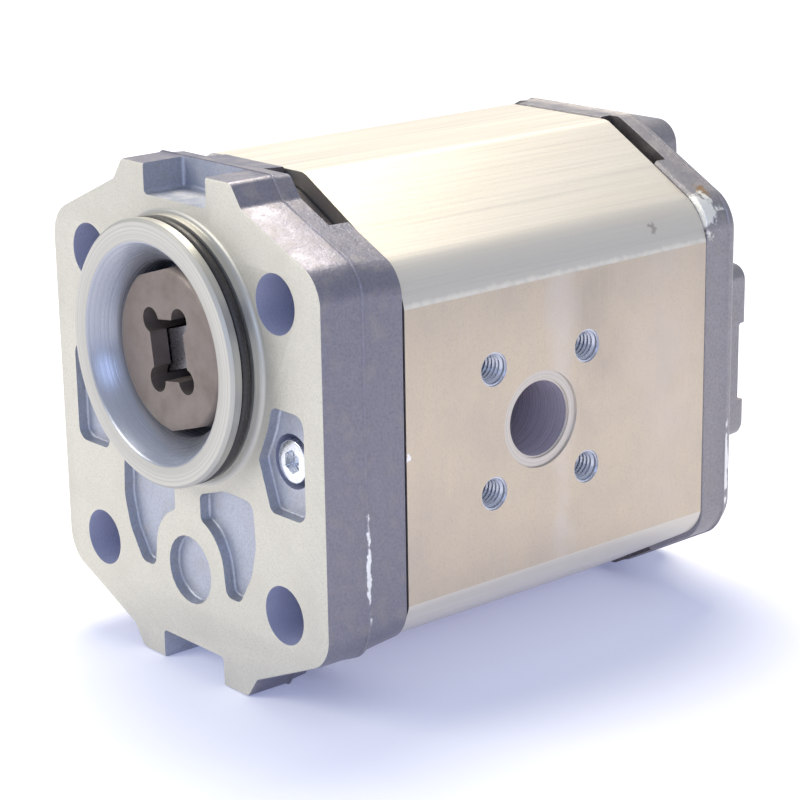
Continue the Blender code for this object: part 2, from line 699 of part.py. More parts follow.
def add_spigot_o_ring():
    cord = 1.15 * MM
    radius = SPIGOT_GROOVE_RADIUS + GAP + cord
    station = sum(SPIGOT_GROOVE) / 2
    ring = turned("spigot_o_ring", ring_section(radius, station, cord), 0, DRIVE_Z, FINE, closed=True)
    finish(ring, "seal_rubber")


def add_shaft_seal():
    case = turned("shaft_seal_case", [
        (14.7 * MM, 9.2 * MM), (14.7 * MM, 15.9 * MM), (13.9 * MM, 15.9 * MM), (13.9 * MM, 10.0 * MM),
        (11.9 * MM, 10.0 * MM), (11.9 * MM, 9.2 * MM),
    ], 0, DRIVE_Z, BEARING_SIDES, closed=True)
    finish(case, "zinc_steel")
    lip = turned("shaft_seal_lip", [
        (13.6 * MM, 10.3 * MM), (13.6 * MM, 11.5 * MM), (11.0 * MM, 11.5 * MM), (10.4 * MM, 14.9 * MM),
        (9.3 * MM, 14.4 * MM), (9.9 * MM, 10.3 * MM),
    ], 0, DRIVE_Z, BEARING_SIDES, closed=True)
    finish(lip, "seal_rubber")
    spring = turned("seal_garter_spring", ring_section(11.6 * MM, 14.0 * MM, 0.6 * MM, 6), 0, DRIVE_Z,
                    BEARING_SIDES, closed=True)
    finish(spring, "spring_steel")
    ring = turned("seal_retaining_ring", [
        (15.4 * MM, 7.4 * MM), (15.4 * MM, 8.6 * MM), (12.8 * MM, 8.6 * MM), (12.8 * MM, 7.4 * MM),
    ], 0, DRIVE_Z, BEARING_SIDES, closed=True)
    opening = block("ring_opening", (-5 * MM, 7 * MM, -17 * MM), (5 * MM, 9 * MM, -8 * MM), 0, (0, DRIVE_Z))
    combine(ring, as_cutter(opening))
    finish(ring, "spring_steel")


def add_coupling_disc():
    """Floats on the tang, which sits in its rear slot; the driving shaft's tang enters the front socket."""
    chamfer = 1.2 * MM
    disc = turned("coupling_disc", [
        (0, DISC[0]), (DISC_RADIUS - chamfer, DISC[0]), (DISC_RADIUS, DISC[0] + chamfer),
        (DISC_RADIUS, DISC[1] - chamfer), (DISC_RADIUS - chamfer, DISC[1]), (0, DISC[1]),
    ], 0, DRIVE_Z)
    axis = (0, DRIVE_Z)
    past = 20 * MM
    for name, sign in (("upper_flat", 1), ("lower_flat", -1)):
        low_z, high_z = sorted((sign * DISC_FLAT, sign * past))
        flat = block(name, (-past, DISC[0] - CUT, low_z), (past, DISC[1] + CUT, high_z), DISC_TURN, axis)
        combine(disc, as_cutter(flat))
    front, back = DISC[0] - CUT, DISC[1] + CUT
    socket = block("socket", (-SOCKET[0], front, -SOCKET[1]), (SOCKET[0], back, SOCKET[1]), SOCKET_TURN, axis)
    combine(disc, as_cutter(socket))
    lobes = []
    for sx, sz in ((1, 1), (-1, 1), (-1, -1), (1, -1)):
        x, z = sx * SOCKET_LOBE[0], sz * SOCKET_LOBE[1]
        lobes.append((x * math.cos(SOCKET_TURN) - z * math.sin(SOCKET_TURN),
                      DRIVE_Z + x * math.sin(SOCKET_TURN) + z * math.cos(SOCKET_TURN)))
    corners = cylinders("socket_corners", lobes, SOCKET_LOBE_RADIUS, front - CUT, back + CUT, SMALL)
    combine(disc, as_cutter(corners))
    half_width = TANG[0] / 2 + 0.9 * MM
    half_height = TANG[1] / 2 + GAP
    low = (-half_width, TANG_END - GAP, -half_height)
    high = (half_width, DISC[1] + CUT, half_height)
    slot = block("tang_slot", low, high, DISC_TURN, axis)
    combine(disc, as_cutter(slot))
    finish(disc, "sintered_steel")


def add_dowels():
    for side, joint in (("front", FRONT_JOINT), ("rear", REAR_JOINT)):
        for level, (x, z) in (("upper", DOWEL), ("lower", (-DOWEL[0], -DOWEL[1]))):
            dowel = cylinders(f"{side}_{level}_dowel", [(x, z)], DOWEL_RADIUS, joint - DOWEL_HALF_LENGTH,
                              joint + DOWEL_HALF_LENGTH, SMALL)
            finish(dowel, "gear_steel")


def add_screws():
    """M5 socket-head screws; inward is +1 for the front pair and -1 for the rear pair."""
    for side, top, inward in (("front", FRONT_SCREW_TOP, 1), ("rear", REAR_SCREW_TOP, -1)):
        for hand, x in (("left", -SCREW_X), ("right", SCREW_X)):
            profile = [
                (0, 0), (SCREW_HEAD_RADIUS - 0.4 * MM, 0), (SCREW_HEAD_RADIUS, 0.4 * MM),
                (SCREW_HEAD_RADIUS, SCREW_HEAD), (SCREW_RADIUS, SCREW_HEAD),
                (SCREW_RADIUS, SCREW_HEAD + SCREW_LENGTH - 0.6 * MM),
                (SCREW_RADIUS - 0.6 * MM, SCREW_HEAD + SCREW_LENGTH), (0, SCREW_HEAD + SCREW_LENGTH),
            ]
            profile = [(radius, top + inward * depth) for radius, depth in profile]
            if inward < 0:
                profile.reverse()
            screw = turned(f"{side}_{hand}_screw", profile, x, 0, ROUND)
            hex_radius = HEX_ACROSS / math.sqrt(3)
            ends = sorted((top - inward * CUT, top + inward * HEX_DEPTH))
            combine(screw, as_cutter(cylinders(f"{side}_{hand}_hex", [(x, 0)], hex_radius, *ends, 6)))
            finish(screw, "zinc_steel")


clear_scene()
pump = new_collection("gear_pump")
cutters = new_collection("cutters")
materials = {name: make_material(name) for name in MATERIALS}
add_front_cover()
add_pump_body()
add_rear_cover()
add_gear_shafts()
add_bearings()
add_body_seals()
add_spigot_o_ring()
add_shaft_seal()
add_coupling_disc()
add_dowels()
add_screws()
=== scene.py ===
"""A hydraulic gear pump: a four-bolt flange with a round spigot and a floating coupling disc, an extruded
body and cast covers. Lengths are in millimetres until at() or MM carries them into the frame's metres."""

import math

import bmesh
import bpy
from mathutils import Matrix, Vector


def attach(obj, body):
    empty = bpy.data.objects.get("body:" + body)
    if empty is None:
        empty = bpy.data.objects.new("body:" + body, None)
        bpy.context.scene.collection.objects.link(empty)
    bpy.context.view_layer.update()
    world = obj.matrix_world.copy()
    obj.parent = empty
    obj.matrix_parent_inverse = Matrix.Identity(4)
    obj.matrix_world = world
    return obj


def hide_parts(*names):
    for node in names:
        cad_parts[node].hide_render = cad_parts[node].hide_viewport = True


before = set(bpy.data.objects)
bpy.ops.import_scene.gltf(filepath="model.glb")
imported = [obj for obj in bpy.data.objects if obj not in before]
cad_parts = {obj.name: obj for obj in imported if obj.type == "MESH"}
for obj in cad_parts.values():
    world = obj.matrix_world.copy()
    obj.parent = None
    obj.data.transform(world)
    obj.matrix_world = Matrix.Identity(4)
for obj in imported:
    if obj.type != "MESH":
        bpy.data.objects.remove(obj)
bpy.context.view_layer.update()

# Pump body.
# A length of extruded aluminium section, sawn and faced at both ends and milled flat on its two port sides.
# The gear chamber is bored right through, and each port has four tapped holes round it for its flange.

MM = 0.001
MIDDLE_STATION = 56.25  # from the mounting face to the middle of the pump's length
MIDDLE_HEIGHT = 50.5  # of the middle between the shafts, above what the pump stands on
SHAFT_OFFSET = 16.0
FRONT_JOINT = 19.4
REAR_JOINT = 100.25
GAP = 0.3
BODY_HALF_WIDTH = 43.1
BODY_HALF_HEIGHT = 49.3
BODY_TOP_HALF_WIDTH = 14.6
BODY_SHOULDER = 33.1
BODY_UPPER_CORNER, BODY_LOWER_CORNER = 12, 8
FLAT_FACE = 42.95  # the milled port side's distance from the middle
FLAT_HEIGHTS = (-30.4, 29.2)
BODY_MIDDLE = 59.8
BOLT_OFFSET = 30.0
BOLT_HOLE_RADIUS = 5.75
CHAMBER_RADIUS = 18.9
PORT_STATION = 53.95
PORT_DEPTH = 35.1
PAST = 2.0  # how far a bore's cutter runs past the piece
QUARTER_TURN = math.pi / 2


def at(x, station, height):
    """A point in millimetres: across, back from the mounting face, and up from between the shafts."""
    return Vector((x, station - MIDDLE_STATION, height + MIDDLE_HEIGHT)) * MM


def section(shape, corners, station, segments=8):
    """A flat face across the shafts through corners (x, height, radius), each rounded. Returns the face."""
    known = set(shape.faces)
    verts = [shape.verts.new(at(x, station, height)) for x, height, _ in corners]
    shape.faces.new(verts)
    for vert, (_, _, radius) in zip(verts, corners):
        if radius:
            along, back = (edge.other_vert(vert).co - vert.co for edge in vert.link_edges)
            setback = radius * MM / math.tan(along.angle(back) / 2)
            bmesh.ops.bevel(shape, geom=[vert], offset=setback, offset_type="OFFSET", segments=segments,
                            profile=0.5, affect="VERTICES", material=-1)
    return next(face for face in shape.faces if face not in known)


def loft(shape, rows, segments=8):
    """A solid through rows of (corners, station), front to back, with only its two end faces filled."""
    last = []
    for row, (corners, station) in enumerate(rows):
        face = section(shape, corners, station, segments)
        edges = list(face.edges)
        if 0 < row < len(rows) - 1:
            bmesh.ops.delete(shape, geom=[face], context="FACES_ONLY")
        if last:
            bmesh.ops.bridge_loops(shape, edges=last + edges)
        last = edges


def swell(corners, amount):
    """The same corners moved out from the middle between the shafts, or in where the amount is below zero."""
    return [(x + amount * math.copysign(1, x), height + amount * math.copysign(1, height), radius)
            for x, height, radius in corners]


def all_quarters(quarter):
    """Corners of a closed outline from those of its upper right quarter, listed from the side to the top."""
    upper_left = [(-x, height, radius) for x, height, radius in reversed(quarter)]
    lower_left = [(-x, -height, radius) for x, height, radius in quarter]
    lower_right = [(x, -height, radius) for x, height, radius in reversed(quarter)]
    return quarter + upper_left + lower_left + lower_right


def new_object(name, shape, *materials):
    """The finished bmesh as an object at the origin, its faces pointing out."""
    bmesh.ops.recalc_face_normals(shape, faces=shape.faces)
    mesh = bpy.data.meshes.new(name)
    shape.to_mesh(mesh)
    shape.free()
    for material in materials:
        mesh.materials.append(material)
    obj = bpy.data.objects.new(name, mesh)
    bpy.context.scene.collection.objects.link(obj)
    return obj


def combine(obj, operation, tools):
    """Cuts the tools from an object, or joins them to it. A new face keeps the finish of its tool."""
    for tool in tools:
        modifier = obj.modifiers.new(tool.name, "BOOLEAN")
        modifier.operation = operation
        modifier.solver = "EXACT"
        modifier.material_mode = "TRANSFER"
        modifier.object = tool
    evaluated = obj.evaluated_get(bpy.context.evaluated_depsgraph_get())
    mesh = bpy.data.meshes.new_from_object(evaluated)
    obj.modifiers.clear()
    obj.data = mesh
    for tool in tools:
        bpy.data.objects.remove(tool, do_unlink=True)


def break_edges(obj, width, segments=2, limit=35):
    """Takes the sharpness off the edges and shades the flat faces flat."""
    closest = 0.002 * MM
    shape = bmesh.new()
    shape.from_mesh(obj.data)
    bmesh.ops.remove_doubles(shape, verts=shape.verts, dist=closest)
    bmesh.ops.dissolve_degenerate(shape, edges=shape.edges, dist=closest)
    shape.to_mesh(obj.data)
    shape.free()
    obj.data.shade_smooth()
    bevel = obj.modifiers.new("edge break", "BEVEL")
    bevel.width = width * MM
    bevel.segments = segments
    bevel.limit_method = "ANGLE"
    bevel.angle_limit = math.radians(limit)
    bevel.use_clamp_overlap = True
    bevel.harden_normals = True
    bevel.miter_outer = "MITER_ARC"


def drill(name, centres, radius, front, back, material, segments=48):
    """Cutters along the shafts, one on each centre (x, height)."""
    shape = bmesh.new()
    for x, height in centres:
        middle = at(x, (front + back) / 2, height)
        turn = Matrix.Translation(middle) @ Matrix.Rotation(-QUARTER_TURN, 4, "X")
        bmesh.ops.create_cone(shape, cap_ends=True, segments=segments, radius1=radius * MM,
                              radius2=radius * MM, depth=(back - front) * MM, matrix=turn)
    return new_object(name, shape, material)


def side_drill(name, side, stations, radius, depth, material, segments=48):
    """Cutters into a port side, one on each (station, height)."""
    shape = bmesh.new()
    outer = BODY_HALF_WIDTH + 1
    for station, height in stations:
        middle = at(side * (outer + BODY_HALF_WIDTH - depth) / 2, station, height)
        turn = Matrix.Translation(middle) @ Matrix.Rotation(QUARTER_TURN, 4, "Y")
        bmesh.ops.create_cone(shape, cap_ends=True, segments=segments, radius1=radius * MM,
                              radius2=radius * MM, depth=(depth + 1) * MM, matrix=turn)
    return new_object(name, shape, material)


def thread(shape, start, axis, radius, pitch, turns, height, segments=24):
    """One helical ridge on a wall of that radius, which rises by a height off the axis, or towards it."""
    axis = Vector(axis)
    across = axis.orthogonal().normalized()
    root, crest = 0.44 * pitch, 0.08 * pitch
    ends = ((radius, -root), (radius + height, -crest), (radius + height, crest), (radius, root))
    verts = [shape.verts.new(start + (across * r + axis * step) * MM) for r, step in ends]
    face = shape.faces.new(verts)
    bmesh.ops.spin(shape, geom=[*verts, *face.edges, face], cent=start, axis=axis,
                   dvec=axis * pitch * MM / segments, angle=2 * math.pi * turns, steps=segments * turns)


def square(offset):
    return [(sx * offset, sz * offset) for sx in (-1, 1) for sz in (-1, 1)]


# How the finishes of all the pieces are made: a node tree on the object's own coordinates, in metres.


class Finish:
    """A procedural material on a metal or rubber shader."""

    def __init__(self, name, colour, roughness, metallic):
        self.material = bpy.data.materials.new(name)
        self.material.use_nodes = True
        self.tree = self.material.node_tree
        self.shader = self.tree.nodes["Principled BSDF"]
        self.shader.inputs["Metallic"].default_value = metallic
        self.shader.inputs["Roughness"].default_value = roughness
        self.colour = self.plain(colour)
        self.rough = None
        self.normal = None
        self.base_roughness = roughness
        self.place = self.tree.nodes.new("ShaderNodeTexCoord").outputs["Object"]

    def plain(self, colour):
        node = self.tree.nodes.new("ShaderNodeRGB")
        node.outputs[0].default_value = (*colour, 1)
        return node.outputs[0]

    def node(self, kind, inputs=(), **settings):
        node = self.tree.nodes.new("ShaderNode" + kind)
        for name, value in settings.items():
            setattr(node, name, value)
        for socket, value in inputs:
            if hasattr(value, "is_linked"):
                self.tree.links.new(value, node.inputs[socket])
            else:
                node.inputs[socket].default_value = value
        return node

    def stretched(self, scale, centre=(0, 0, 0)):
        """Object coordinates moved to a centre and scaled, so that a grain runs along one axis."""
        moved = self.node("VectorMath", [(0, self.place), (1, centre)], operation="SUBTRACT").outputs[0]
        return self.node("VectorMath", [(0, moved), (1, scale)], operation="MULTIPLY").outputs[0]

    def noise(self, size, scale=(1, 1, 1), detail=3.0, rough=0.55):
        """Noise whose features are about that many millimetres across, before the axes are scaled."""
        return self.node("TexNoise", [("Vector", self.stretched(scale)), ("Scale", 1 / (size * MM)),
                                      ("Detail", detail), ("Roughness", rough)]).outputs["Fac"]

    def rings(self, centre, size, axis="Y"):
        """Turning marks: noise on the distance from an axis through a centre."""
        flat = (1, 0, 1) if axis == "Y" else (0, 1, 1)
        radial = self.node("VectorMath", [(0, self.stretched(flat, centre))], operation="LENGTH")
        along = self.node("SeparateXYZ", [(0, self.place)]).outputs[1 if axis == "Y" else 0]
        line = self.node("CombineXYZ", [(0, radial.outputs["Value"]), (1, along)]).outputs[0]
        turned_noise = self.node("TexNoise", [("Vector", line), ("Scale", 1 / (size * MM)), ("Detail", 2.0)])
        return turned_noise.outputs["Fac"]

    def spread(self, value, low, high, to_low=0.0, to_high=1.0):
        return self.node("MapRange", [("Value", value), ("From Min", low), ("From Max", high),
                                      ("To Min", to_low), ("To Max", to_high)]).outputs[0]

    def tint(self, mask, colour, strength=1.0):
        """Another colour where the mask is 1."""
        if strength < 1:
            mask = self.node("Math", [(0, mask), (1, strength)], operation="MULTIPLY").outputs[0]
        mix = self.node("Mix", [("Factor", mask)], data_type="RGBA")
        before, after = [socket for socket in mix.inputs if socket.type == "RGBA"]
        self.tree.links.new(self.colour, before)
        after.default_value = (*colour, 1)
        self.colour = next(socket for socket in mix.outputs if socket.type == "RGBA")

    def vary_roughness(self, value, amount):
        """Roughness swings by an amount either way round its base value."""
        low, high = self.base_roughness - amount, self.base_roughness + amount
        self.rough = self.spread(value, 0.3, 0.7, low, high)

    def bump(self, height, depth, strength=1.0):
        """Relief of that many millimetres."""
        node = self.node("Bump", [("Strength", strength), ("Distance", depth * MM), ("Height", height)])
        if self.normal:
            self.tree.links.new(self.normal, node.inputs["Normal"])
        self.normal = node.outputs[0]

    def patch(self, centre, half_size, ragged, edge=0.35):
        """A mask, 1 inside a small ragged area and 0 outside. Centre and half size are in millimetres."""
        scale = tuple(1 / (half * MM) for half in half_size)
        reach = self.node("VectorMath", [(0, self.stretched(scale, tuple(at(*centre))))], operation="LENGTH")
        wobble = self.spread(self.noise(ragged, detail=4), 0.3, 0.7, -0.6, 0.6)
        total = self.node("Math", [(0, reach.outputs["Value"]), (1, wobble)], operation="ADD").outputs[0]
        return self.spread(total, 1.0, 1.0 - edge)

    def done(self):
        self.tree.links.new(self.colour, self.shader.inputs["Base Color"])
        if self.rough:
            self.tree.links.new(self.rough, self.shader.inputs["Roughness"])
        if self.normal:
            self.tree.links.new(self.normal, self.shader.inputs["Normal"])
        return self.material


def extruded_skin():
    finish = Finish("extruded_skin", (0.74, 0.685, 0.585), 0.42, 0.6)
    lines = finish.noise(0.9, (1, 0.012, 1), 4)
    finish.tint(finish.spread(lines, 0.45, 0.75), (0.62, 0.575, 0.52), 0.45)
    finish.tint(finish.spread(finish.noise(9, (1, 0.25, 1)), 0.5, 0.75), (0.70, 0.62, 0.50), 0.35)
    finish.tint(finish.spread(finish.noise(0.35), 0.55, 0.75), (0.62, 0.58, 0.53), 0.3)
    # A painted highlight: a thin bright cream line running lengthwise along the rounded upper corner above
    # the right milled flat, where that corner catches the light.
    finish.tint(finish.patch((43, 60, 28.2), (2, 900, 0.7), 2, 1.0), (0.95, 0.88, 0.74), 0.7)
    finish.tint(finish.patch((40.8, 86.4, 32.6), (3, 1.1, 1.3), 1.4), (0.27, 0.22, 0.20), 0.55)
    finish.vary_roughness(lines, 0.07)
    finish.bump(lines, 0.035)
    finish.bump(finish.noise(0.3), 0.012)
    return finish.done()


def milled_side():
    finish = Finish("milled_port_side", (0.63, 0.53, 0.405), 0.42, 0.85)
    finish.tint(finish.spread(finish.noise(14), 0.42, 0.7), (0.50, 0.44, 0.375), 0.45)
    finish.tint(finish.spread(finish.noise(0.4), 0.5, 0.75), (0.42, 0.37, 0.32), 0.4)
    finish.tint(finish.patch((43, 68, 16), (9, 9, 30), 12, 1.0), (0.42, 0.36, 0.30), 0.5)
    finish.tint(finish.patch((43, 60, 0), (9, 4.5, 60), 12, 1.0), (0.74, 0.69, 0.66), 0.4)
    finish.tint(finish.patch((43, 88, 0), (9, 12, 60), 12, 1.0), (0.64, 0.56, 0.49), 0.4)
    feed = finish.noise(0.5, (1, 1, 0.03), 3)
    finish.tint(finish.spread(feed, 0.5, 0.8), (0.68, 0.62, 0.55), 0.35)
    finish.tint(finish.patch((43, 20.0, -0.5), (2, 0.7, 0.8), 0.5), (0.90, 0.86, 0.88))
    finish.vary_roughness(feed, 0.06)
    finish.bump(feed, 0.010)
    finish.bump(finish.noise(0.25), 0.014)
    return finish.done()


def sawn_end():
    finish = Finish("faced_end", (0.62, 0.59, 0.55), 0.36, 0.9)
    marks = finish.noise(0.35, (1, 1, 0.04), 3)
    finish.tint(finish.spread(marks, 0.45, 0.75), (0.48, 0.46, 0.43), 0.4)
    finish.bump(marks, 0.01)
    return finish.done()


def bored_wall(name, colour, centre, axis, roughness=0.3):
    finish = Finish(name, colour, roughness, 0.6)
    marks = finish.rings(tuple(at(*centre)), 0.22, axis)
    darker = tuple(part * 0.6 for part in colour)
    finish.tint(finish.spread(marks, 0.45, 0.75), darker, 0.5)
    finish.vary_roughness(marks, 0.08)
    finish.bump(marks, 0.015)
    return finish.done()


BODY_CORNERS = [
    (x, height, BODY_LOWER_CORNER if height < 0 and radius == BODY_UPPER_CORNER else radius)
    for x, height, radius in all_quarters([
        (BODY_HALF_WIDTH, BODY_SHOULDER, BODY_UPPER_CORNER), (BODY_TOP_HALF_WIDTH, BODY_HALF_HEIGHT, 4),
    ])
]
skin, port_face, end_face = extruded_skin(), milled_side(), sawn_end()
port_centre = (43, PORT_STATION, 0)
seat_face = bored_wall("port_seal_face", (0.66, 0.60, 0.53), port_centre, "X", 0.36)
# The port bores' lavender colour is a painted reflection of the cool window and the bluish sky on their
# walls.
pressure_wall = bored_wall("pressure_port_wall", (0.80, 0.74, 0.82), port_centre, "X")
suction_wall = bored_wall("suction_port_wall", (0.80, 0.74, 0.82), (-43, PORT_STATION, 0), "X")
chamber_wall = bored_wall("gear_chamber_wall", (0.60, 0.59, 0.57), (0, 60, SHAFT_OFFSET), "Y", 0.22)
thread_wall = bored_wall("tapped_hole_wall", (0.62, 0.63, 0.68), port_centre, "X", 0.2)

body_shape = bmesh.new()
body_front, body_back = FRONT_JOINT + GAP / 2, REAR_JOINT - GAP / 2
loft(body_shape, [(BODY_CORNERS, body_front), (BODY_CORNERS, body_back)], 14)
pump_body = new_object("pump_body_extrusion", body_shape, skin, port_face, end_face)
for face in pump_body.data.polygons:
    if abs(face.normal.y) > 0.9:
        face.material_index = 2

PORTS = (  # side, name, bore radius, seal face radius, tapped holes' radius, finish
    (1, "pressure", 7.5, 9.7, 17.5, pressure_wall),
    (-1, "suction", 10.0, 12.6, 20.0, suction_wall),
)
flat_low, flat_high = FLAT_HEIGHTS
flat_size = (6 * MM, 100 * MM, (flat_high - flat_low) * MM, 1)
cutters = []
for side, name, radius, ring, pattern, wall in PORTS:
    # the milled flat stands a hair below the extruded side, so its edge shows as a thin line
    flat = bmesh.new()
    middle = at(side * (FLAT_FACE + 3), BODY_MIDDLE, (flat_low + flat_high) / 2)
    bmesh.ops.create_cube(flat, size=1.0, matrix=Matrix.Translation(middle) @ Matrix.Diagonal(flat_size))
    cutters.append(new_object(name + "_flat", flat, port_face))
    centre = [(PORT_STATION, 0)]
    tapped = [(PORT_STATION + a, b) for a, b in square(pattern / math.sqrt(2))]
    cutters.append(side_drill(name + "_seat", side, centre, ring, 0.6, seat_face, 96))
    cutters.append(side_drill(name + "_bore", side, centre, radius, PORT_DEPTH, wall, 96))
    cutters.append(side_drill(name + "_lead_in", side, centre, radius + 0.4, 0.95, seat_face, 96))
    cutters.append(side_drill(name + "_tapping", side, tapped, 3.0, 13.0, thread_wall, 32))
    cutters.append(side_drill(name + "_countersinks", side, tapped, 3.35, 0.45, thread_wall, 32))
body_ends = (body_front - PAST, body_back + PAST)
for height in (SHAFT_OFFSET, -SHAFT_OFFSET):
    cutters.append(drill("chamber_bore", [(0, height)], CHAMBER_RADIUS, *body_ends, chamber_wall, 96))
cutters.append(drill("bolt_bores", square(BOLT_OFFSET), BOLT_HOLE_RADIUS, *body_ends, chamber_wall))
combine(pump_body, "DIFFERENCE", cutters)
break_edges(pump_body, 0.16, 2, 40)

threads = bmesh.new()
for side, _, _, _, pattern, _ in PORTS:
    for a, b in square(pattern / math.sqrt(2)):
        start = at(side * 42.3, PORT_STATION + a, b)
        thread(threads, start, (-side, 0, 0), 3.02, 1.0, 12, -0.48)
body_threads = new_object("port_flange_threads", threads, thread_wall)
body_threads.data.shade_smooth()
body_threads.data.set_sharp_from_angle(angle=math.radians(50))
for piece in (pump_body, body_threads):
    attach(piece, "housing")
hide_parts("pump_body")

# Front cover.
# A die casting in aluminium with a four-bolt flange. Its mounting face, spigot and bores are machined. The
# sides, the pockets and the notches keep the rough cast skin, and the die's parting line shows as a ridge.

PARTING_LINE = 9.8
SPIGOT_FRONT = -7.2
SPIGOT_RADIUS = 26.0
GROOVE = (-5.0, -2.1, 23.4)
MOUTH_RADIUS = 21.3
COVER_HALF_WIDTH = 43.0
RECESS = (-1.4, 6.4, 17.3)
SCREW_X = 31.0
SCREWS = [(-SCREW_X, 0), (SCREW_X, 0)]
SCREW_SEAT_RADIUS, SCREW_SEAT_DEPTH = 5.3, 7.3
SMALL_HOLE_RADIUS = 2.8  # the screws' and the dowels' holes
DOWELS = [(20.5, 38.5), (-20.5, -38.5)]
DOWEL_DEPTH = 6.3
POCKET_DEPTH = 2.3


def cast_skin(name, colour, marks=()):
    finish = Finish(name, colour, 0.42, 0.62)
    grain = finish.noise(0.55, detail=5, rough=0.65)
    lumps = finish.noise(3.5)
    darker = tuple(part * 0.62 for part in colour)
    finish.tint(finish.spread(grain, 0.42, 0.7), darker, 0.6)
    finish.tint(finish.spread(lumps, 0.5, 0.72), (0.42, 0.38, 0.33), 0.3)
    for centre, half_size, ragged, shade in marks:
        finish.tint(finish.patch(centre, half_size, ragged), shade)
    finish.vary_roughness(lumps, 0.09)
    finish.bump(grain, 0.07, 0.8)
    finish.bump(lumps, 0.18, 0.8)
    return finish.done()


def machined_face():
    finish = Finish("machined_mounting_face", (0.60, 0.575, 0.49), 0.50, 0.5)
    finish.tint(finish.spread(finish.noise(0.32, detail=2), 0.45, 0.72), (0.42, 0.405, 0.36), 0.6)
    finish.tint(finish.spread(finish.noise(12), 0.45, 0.7), (0.52, 0.49, 0.42), 0.5)
    sweep = finish.rings(tuple(at(-60, 0, -120)), 0.3)
    finish.vary_roughness(sweep, 0.06)
    finish.bump(sweep, 0.006)
    finish.bump(finish.noise(0.3), 0.01)
    return finish.done()


front_skin = cast_skin("front_casting_skin", (0.245, 0.235, 0.275), [
    ((43, 10.1, -20.5), (6, 0.62, 10), 2.4, (0.88, 0.87, 0.85)),
])
# The pockets and notches get a lighter, bluish copy of the cover's cast skin: painted bluish light from the
# window on their walls and floors.
pocket_painted_light_skin = cast_skin("pocket_cast_skin_painted_blue_light", (0.44, 0.46, 0.52))
flange_face = machined_face()
spigot_wall = bored_wall("turned_spigot", (0.50, 0.485, 0.435), (0, 0, 16), "Y", 0.42)
# The mouth's cool blue-grey is a painted reflection of the window in the bore.
mouth_wall = bored_wall("turned_mouth", (0.38, 0.395, 0.44), (0, 0, 16), "Y", 0.30)
# The bolt holes' blue is a painted reflection of the window on their walls.
hole_wall = bored_wall("bolt_hole_wall", (0.62, 0.64, 0.80), (0, 0, 0), "Y", 0.45)
# The lever slots get a near-black copy of the cast skin: painted shade deep inside the slots.
slot_painted_shade = cast_skin("lever_slot_painted_shade", (0.17, 0.15, 0.145))


def cover_corners(shoulder, step, lobe_half_width, half_height, radius, ease=1.6):
    return all_quarters([
        (COVER_HALF_WIDTH, shoulder, radius), (*step, ease), (lobe_half_width, half_height, ease),
    ])


FLANGE_CORNERS = cover_corners(36.3, (20.6, 46.2), 17.6, 50.5, 7)
JOINT_CORNERS = cover_corners(34.9, (19.6, 46.0), 16.9, 49.7, 7)
cover_shape = bmesh.new()
front_back = FRONT_JOINT - GAP / 2
loft(cover_shape, [
    (swell(FLANGE_CORNERS, -0.55), 0.0), (swell(FLANGE_CORNERS, -0.16), 0.16),
    (swell(FLANGE_CORNERS, -0.05), 0.6), (FLANGE_CORNERS, PARTING_LINE - 0.35),
    (swell(FLANGE_CORNERS, 0.24), PARTING_LINE - 0.1), (swell(FLANGE_CORNERS, 0.24), PARTING_LINE + 0.05),
    (swell(FLANGE_CORNERS, -0.22), PARTING_LINE + 0.35), (JOINT_CORNERS, front_back - 0.3),
    (swell(JOINT_CORNERS, -0.3), front_back),
], 10)
front_cover = new_object("front_cover_casting", cover_shape, front_skin, flange_face)
for face in front_cover.data.polygons:
    if face.normal.y < -0.9:
        face.material_index = 1


def turned(name, profile, x, height, material, segments=128):
    """A solid of revolution on an axis along the shafts. Its profile of (radius, station) starts and ends on
    the axis, or closes on itself."""
    shape = bmesh.new()
    verts = [shape.verts.new(at(x + radius, station, height)) for radius, station in profile]
    edges = [shape.edges.new(pair) for pair in zip(verts, verts[1:])]
    if profile[0][0] > 0:
        edges.append(shape.edges.new((verts[-1], verts[0])))
    bmesh.ops.spin(shape, geom=verts + edges, cent=at(x, 0, height), axis=(0, 1, 0),
                   angle=2 * math.pi, steps=segments, use_merge=True)
    bmesh.ops.remove_doubles(shape, verts=shape.verts, dist=0.0005 * MM)
    return new_object(name, shape, material)


def pocket(name, corners, depth, material, floor_fillet=0.5):
    """A cutter for a cast pocket in the mounting face, with a fillet round its floor."""
    shape = bmesh.new()
    face = section(shape, corners, -1, 6)
    pushed = bmesh.ops.extrude_face_region(shape, geom=[face])["geom"]
    verts = [item for item in pushed if isinstance(item, bmesh.types.BMVert)]
    floor = next(item for item in pushed if isinstance(item, bmesh.types.BMFace))
    bmesh.ops.translate(shape, verts=verts, vec=(0, (depth + 1) * MM, 0))
    bmesh.ops.recalc_face_normals(shape, faces=shape.faces)
    bmesh.ops.bevel(shape, geom=list(floor.edges), offset=floor_fillet * MM, offset_type="OFFSET",
                    segments=4, profile=0.5, affect="EDGES", material=-1)
    return new_object(name, shape, material)


def mirrored(corners):
    return [(-x, height, radius) for x, height, radius in reversed(corners)]


def notch(name, low, high, material, round_off=0.9):
    """A cutter box between two corners (x, station, height) with rounded edges."""
    shape = bmesh.new()
    lowest, highest = at(*low), at(*high)
    size = highest - lowest
    place = Matrix.Translation((lowest + highest) / 2) @ Matrix.Diagonal((*size, 1))
    bmesh.ops.create_cube(shape, size=1.0, matrix=place)
    bmesh.ops.bevel(shape, geom=list(shape.edges), offset=round_off * MM, offset_type="OFFSET",
                    segments=4, profile=0.5, affect="EDGES", material=-1)
    return new_object(name, shape, material)


